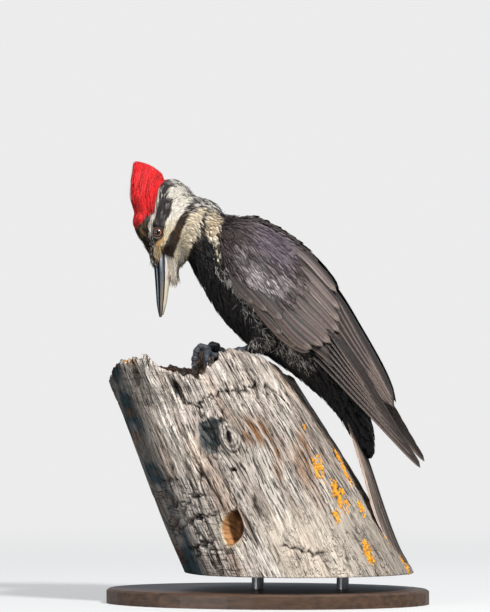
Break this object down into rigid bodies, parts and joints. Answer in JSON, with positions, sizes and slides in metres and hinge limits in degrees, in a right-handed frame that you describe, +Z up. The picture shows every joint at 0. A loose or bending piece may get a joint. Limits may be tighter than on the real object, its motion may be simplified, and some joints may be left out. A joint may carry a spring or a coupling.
{
  "type": "pileated woodpecker on a snag",
  "caption": "Life-size crested woodpecker, head bent down, gripping the broken top of a weathered grey snag, its tail braced on the trunk, on a plain oval stand",
  "frame": {"origin": "centre of the underside of the stand's base", "axes": "+Z up; the bird faces -X with its midline in the plane y = 0, so its left side looks along -Y"},
  "size_m": [0.266, 0.178, 0.3618],
  "materials": {
    "plumage": "soft matt feathers, black-brown with white and grey markings",
    "crest": "soft matt red feathers",
    "flight": "smooth satin flight feathers",
    "bill": "satin horn, pale on the lower half",
    "eye": "wet gloss with dark pupil",
    "scale": "dull scaled skin",
    "claw": "satin dark horn",
    "wood": "weathered grey, cracked, with orange lichen",
    "base": "dark stained, satin",
    "steel": "brushed"
  },
  "bodies": {
    "root": {"head": "plumage", "crest": "crest", "neck": "plumage", "torso": "plumage", "rump": "plumage", "upper_mandible": "bill", "lower_mandible": "bill", "eye_left": "eye", "eye_right": "eye", "wing_left_coverts": "flight", "wing_right_coverts": "flight", "wing_left_secondaries": "flight", "wing_right_secondaries": "flight", "wing_left_primaries": "flight", "wing_right_primaries": "flight", "tail_left": "flight", "tail_right": "flight", "thigh_left": "plumage", "tarsus_left": "scale", "toe_1_left": "scale", "toe_2_left": "scale", "toe_3_left": "scale", "toe_4_left": "scale", "claw_1_left": "claw", "claw_2_left": "claw", "claw_3_left": "claw", "claw_4_left": "claw", "thigh_right": "plumage", "tarsus_right": "scale", "toe_1_right": "scale", "toe_2_right": "scale", "toe_3_right": "scale", "toe_4_right": "scale", "claw_1_right": "claw", "claw_2_right": "claw", "claw_3_right": "claw", "claw_4_right": "claw", "perch": "wood", "stand_base": "base", "stand_rod_1": "steel", "stand_rod_2": "steel"}
  },
  "joints": []
}
